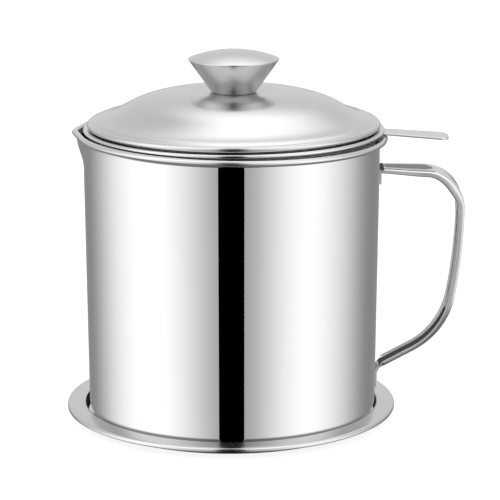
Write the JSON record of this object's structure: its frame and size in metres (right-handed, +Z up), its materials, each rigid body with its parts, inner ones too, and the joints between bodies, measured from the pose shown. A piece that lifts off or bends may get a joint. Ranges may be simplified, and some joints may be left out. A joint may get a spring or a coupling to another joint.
{
  "type": "bacon grease container",
  "caption": "Steel grease keeper: pouring pot with a strap handle, drop-in mesh strainer with a lift tab, domed lid with a hollow knob, and a drip tray.",
  "frame": {"origin": "on the pot's axis, in the plane that the drip tray rests on", "axes": "+Z up along the pot's axis, +X towards the handle and the strainer's lift tab, -X towards the pouring spout"},
  "size_m": [0.1738, 0.1448, 0.1613],
  "materials": {
    "mirror_steel": "mirror-polished stainless steel",
    "handle_steel": "polished stainless steel",
    "rim_steel": "bright stainless steel",
    "satin_steel": "fine satin stainless steel, spun",
    "tray_steel": "satin stainless steel, spun in rings",
    "mesh_wire": "woven stainless wire",
    "zinc_steel": "zinc-plated steel"
  },
  "bodies": {
    "tray": {"drip_tray": "tray_steel"},
    "pot": {"pot_body": "mirror_steel", "pot_handle": "handle_steel"},
    "strainer": {"strainer_collar": "rim_steel", "strainer_tab": "rim_steel", "strainer_mesh": "mesh_wire", "mesh_hoop": "rim_steel"},
    "lid": {"lid_shell": "satin_steel", "knob_cone": "satin_steel", "knob_cap": "satin_steel", "knob_nut": "zinc_steel", "knob_flat_washer": "zinc_steel", "knob_spring_washer": "zinc_steel", "knob_screw": "zinc_steel"}
  },
  "joints": [
    {"name": "pot_lift", "type": "slide", "parent": "tray", "child": "pot", "axis": [0, 0, 1], "range_m": [0, 0.03]},
    {"name": "strainer_lift", "type": "slide", "parent": "pot", "child": "strainer", "axis": [0, 0, 1], "range_m": [0, 0.08]},
    {"name": "lid_lift", "type": "slide", "parent": "strainer", "child": "lid", "axis": [0, 0, 1], "range_m": [0, 0.05]}
  ]
}
